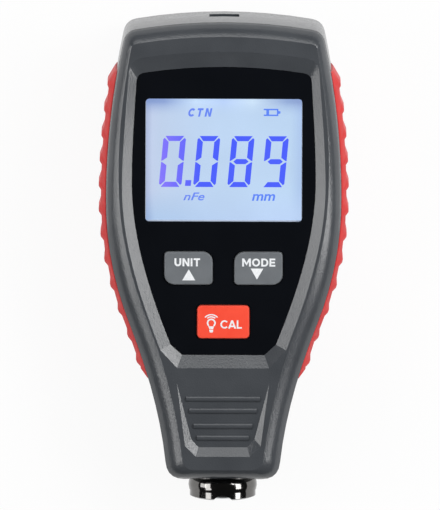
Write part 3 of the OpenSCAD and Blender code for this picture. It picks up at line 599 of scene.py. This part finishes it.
def digits():
    """The reading 0.089, in slanting seven-segment figures."""
    mesh = bmesh.new()
    outlines = segment_outlines()
    for place, figure in enumerate("0089"):
        for segment in LIT[figure]:
            flat_face(mesh, [(x + DIGIT_X + place * DIGIT_PITCH, y) for x, y in outlines[segment]])
    left = DIGIT_X + DIGIT_W + POINT_X
    rectangle(mesh, left, POINT_Y, left + POINT, POINT_Y + POINT)
    lean = Matrix.Identity(4)
    lean[0][1] = DIGIT_SLANT
    bmesh.ops.transform(mesh, matrix=lean, verts=mesh.verts)
    bmesh.ops.translate(mesh, verts=mesh.verts, vec=(DISPLAY_X, DISPLAY_Y + DIGIT_Y * MM, 0))
    display_sign("display_digits", mesh, DIGIT_INK)


# A font's letters are about 1 high before they are scaled to their box
FONT_MERGE = 0.0005


def small_word(name, text, box, slant, weight):
    """Lettering fitted to a box of (left, bottom, right, top)."""
    curve = bpy.data.curves.new(name, "FONT")
    curve.body = text
    curve.shear = slant
    curve.offset = weight
    holder = bpy.data.objects.new(name, curve)
    scene.collection.objects.link(holder)
    shaped = holder.evaluated_get(bpy.context.evaluated_depsgraph_get())
    flat = bpy.data.meshes.new_from_object(shaped)
    bpy.data.objects.remove(holder)
    mesh = bmesh.new()
    mesh.from_mesh(flat)
    bmesh.ops.remove_doubles(mesh, verts=mesh.verts, dist=FONT_MERGE)
    xs = [v.co.x for v in mesh.verts]
    ys = [v.co.y for v in mesh.verts]
    left, bottom, right, top = (side * MM for side in box)
    grow = Vector(((right - left) / (max(xs) - min(xs)), (top - bottom) / (max(ys) - min(ys)), 1))
    bmesh.ops.translate(mesh, verts=mesh.verts, vec=(-min(xs), -min(ys), 0))
    bmesh.ops.scale(mesh, verts=mesh.verts, vec=grow)
    bmesh.ops.translate(mesh, verts=mesh.verts, vec=(left, bottom, 0))
    display_sign(name, mesh, WORD_INK)


def battery_sign():
    """Outline of a cell with its nub, and one bar of charge."""
    mesh = bmesh.new()
    left, bottom, right, top = 11.4, 42.75, 15.6, 44.85
    line = 0.42
    nub, nub_root, nub_end = 0.62, 0.6, 0.75
    bar_left, bar_right = left + 0.75, left + 1.55
    rectangle(mesh, left, top - line, right, top)
    rectangle(mesh, left, bottom, right, bottom + line)
    rectangle(mesh, right - line, bottom + line, right, top - line)
    flat_face(mesh, [(right, bottom + nub_root), (right + nub, bottom + nub_end),
                     (right + nub, top - nub_end), (right, top - nub_root)])
    rectangle(mesh, bar_left, bottom + line, bar_right, top - line)
    display_sign("display_battery_sign", mesh, WORD_INK)


def mode_sign():
    """Slanting CTN, for continuous measuring."""
    mesh = bold_word("CTN", (-10.5, 42.5, -3.3, 44.95), stroke=0.66, slant=0.22, narrow=0.84)
    display_sign("display_mode_sign", mesh, WORD_INK)


digits()
small_word("display_metal_sign", "nFe", (-11.6, 18.2, -5.5, 20.5), slant=0.3, weight=0.014)
small_word("display_unit_sign", "mm", (8.1, 18.15, 14.8, 20.1), slant=0.2, weight=0.02)
battery_sign()
mode_sign()


# Key lettering

KEY_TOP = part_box("unit_key")[1].z
PRINT_T = 0.04 * MM


def key_print(name, mesh, body):
    """Piece from flat faces, printed on a key."""
    raise_flat(mesh, KEY_TOP, PRINT_T)
    finished_piece(name, mesh, WHITE_INK, body)


def key_word(name, text, box, stroke, body):
    """Bold capitals that fill a box of (left, bottom, right, top)."""
    key_print(name, bold_word(text, box, stroke), body)


def arrow_sign(name, left, right, base, tip, body):
    """Solid arrowhead, which points up or down."""
    mesh = bmesh.new()
    corners = [(left, base), (right, base), ((left + right) / 2, tip)]
    flat_face(mesh, corners if tip > base else corners[::-1])
    key_print(name, mesh, body)


def lamp_sign():
    """Lamp with two bows of light over it."""
    mesh = bmesh.new()
    x, y = -3.45, -16.95

    def ring(inner, outer, start, end, steps):
        rims = [bow(x, y, radius, radius, start, end, steps) for radius in (outer, inner)]
        for face in band(*rims):
            flat_face(mesh, face)

    def socket(top, top_half, foot, foot_half):
        flat_face(mesh, [(x - top_half, y - top), (x - foot_half, y - foot),
                         (x + foot_half, y - foot), (x + top_half, y - top)])

    ring(0.85, 1.3, -50, 230, 14)
    socket(0.98, 0.82, 1.75, 0.55)
    socket(1.95, 0.6, 2.75, 0.42)
    ring(1.62, 1.95, 50, 130, 6)
    ring(2.25, 2.6, 42, 138, 8)
    bmesh.ops.remove_doubles(mesh, verts=mesh.verts, dist=MERGE)
    key_print("cal_lamp_sign", mesh, "cal_button")


key_word("unit_word", "UNIT", (-14.08, -0.5, -6.71, 1.83), 0.54, "unit_button")
key_word("mode_word", "MODE", (5.36, -0.5, 14.89, 1.83), 0.54, "mode_button")
key_word("cal_word", "CAL", (-0.84, -18.55, 5.36, -16.15), 0.46, "cal_button")
arrow_sign("unit_up_sign", -11.84, -8.09, -4.58, -1.38, "unit_button")
arrow_sign("mode_down_sign", 7.8, 11.46, -1.09, -4.29, "mode_button")
lamp_sign()


# Floor, light and camera

FLOOR_HALF = 3.0
FLOOR_GAP = 0.2 * MM
FLOOR_WHITE = 0.92


def floor():
    """Pale floor, white to the camera, that keeps a soft shadow and is clear from below."""
    mesh = bmesh.new()
    bmesh.ops.create_grid(mesh, x_segments=2, y_segments=2, size=FLOOR_HALF)
    bmesh.ops.translate(mesh, verts=mesh.verts, vec=(0, 0, -FLOOR_GAP))
    data = bpy.data.meshes.new("floor")
    mesh.to_mesh(data)
    mesh.free()
    finish = Finish("floor paper", {"Roughness": 0.9, "Specular IOR Level": 0.1})
    grain = finish.noise(4 * MM)
    finish.feed("Base Color", finish.mix(grain, (0.85, 0.85, 0.85, 1), (0.87, 0.87, 0.87, 1)))
    seen, mirrored, passed, shaded = (finish.node("ShaderNodeLightPath", output=f"Is {ray} Ray")
                                      for ray in ("Camera", "Glossy", "Transmission", "Shadow"))
    glow = finish.node("ShaderNodeEmission", inputs={"Color": (1, 1, 1, 1), "Strength": 1.0})
    white = seen.math("MINIMUM", (seen + mirrored + passed) * FLOOR_WHITE, FLOOR_WHITE)
    paper = finish.node("ShaderNodeMixShader", inputs={
        0: white, 1: Value(finish, finish.shader.outputs[0]), 2: glow})
    below = finish.node("ShaderNodeNewGeometry", output="Backfacing")
    clear = finish.node("ShaderNodeBsdfTransparent")
    blend = finish.node("ShaderNodeMixShader", inputs={
        0: seen.math("MAXIMUM", seen * below, shaded), 1: paper, 2: clear})
    finish.set(finish.tree.nodes["Material Output"].inputs["Surface"], blend)
    data.materials.append(finish.material)
    plane = bpy.data.objects.new("floor", data)
    scene.collection.objects.link(plane)


def lamp(name, place, aim, size, power):
    """Soft box at a place, turned to what it lights."""
    light = bpy.data.lights.new(name, "AREA")
    light.shape = "RECTANGLE"
    light.size, light.size_y = size
    light.energy = power
    holder = bpy.data.objects.new(name, light)
    holder.location = place
    holder.rotation_euler = (Vector(aim) - Vector(place)).to_track_quat("-Z", "Y").to_euler()
    scene.collection.objects.link(holder)


def world_light(level):
    """Even dim light, white to the camera alone."""
    world = bpy.data.worlds.new("studio")
    world.use_nodes = True
    tree = world.node_tree
    rays = tree.nodes.new("ShaderNodeLightPath")
    strength = tree.nodes.new("ShaderNodeMapRange")
    strength.inputs["To Min"].default_value = level
    sky = tree.nodes["Background"]
    sky.inputs["Color"].default_value = (1, 1, 1, 1)
    tree.links.new(rays.outputs["Is Camera Ray"], strength.inputs["Value"])
    tree.links.new(strength.outputs["Result"], sky.inputs["Strength"])
    scene.world = world


PHOTO_W, PHOTO_H = 440, 510
MM_PER_PIXEL = 0.288
# Pixel column of the object's middle plane
MIDDLE_COLUMN = 223.5
CAMERA_TILT = math.radians(8.5)
CAMERA_ROLL = math.radians(0.2)
CAMERA_DISTANCE = 6.0
CAMERA_REACH = 20.0
SENSOR_H = 24.0
AIM = Vector(((PHOTO_W / 2 - MIDDLE_COLUMN) * MM_PER_PIXEL, 0.62, 15.5)) * MM


def camera():
    """Long lens over the face, leaning a little to the top end."""
    lens = bpy.data.cameras.new("camera")
    lens.sensor_fit = "VERTICAL"
    lens.sensor_height = SENSOR_H
    lens.lens = SENSOR_H * CAMERA_DISTANCE / (PHOTO_H * MM_PER_PIXEL * MM)
    lens.clip_end = CAMERA_REACH
    holder = bpy.data.objects.new("camera", lens)
    outwards = Vector((0, math.sin(CAMERA_TILT), math.cos(CAMERA_TILT)))
    holder.location = AIM + CAMERA_DISTANCE * outwards
    holder.rotation_mode = "ZYX"
    holder.rotation_euler = (-CAMERA_TILT, 0, CAMERA_ROLL)
    scene.collection.objects.link(holder)
    scene.camera = holder


floor()
world_light(level=0.03)
lamp("right box", place=(0.6, 0.05, 0.45), aim=(0, 0, 0.02), size=(0.64, 0.24), power=3.6)
lamp("left box", place=(-0.605, -0.07, 0.49), aim=(0, 0, 0.02), size=(0.6, 0.26), power=2.3)
lamp("left card", place=(-0.62, 0.03, 0.25), aim=(0, 0.02, 0.02), size=(0.34, 0.26), power=0.95)
lamp("corner card", place=(0.42, 0.335, 0.54), aim=(0, -0.02, 0.02), size=(0.28, 0.24), power=1.8)
lamp("top card", place=(0.0, 0.5, 0.5), aim=(0, 0, 0.02), size=(0.7, 0.3), power=1.9)
lamp("under card", place=(0.0, 0.0, -0.7), aim=(0, 0, 0), size=(0.9, 0.9), power=4.5)
camera()
scene.view_settings.view_transform = "Standard"
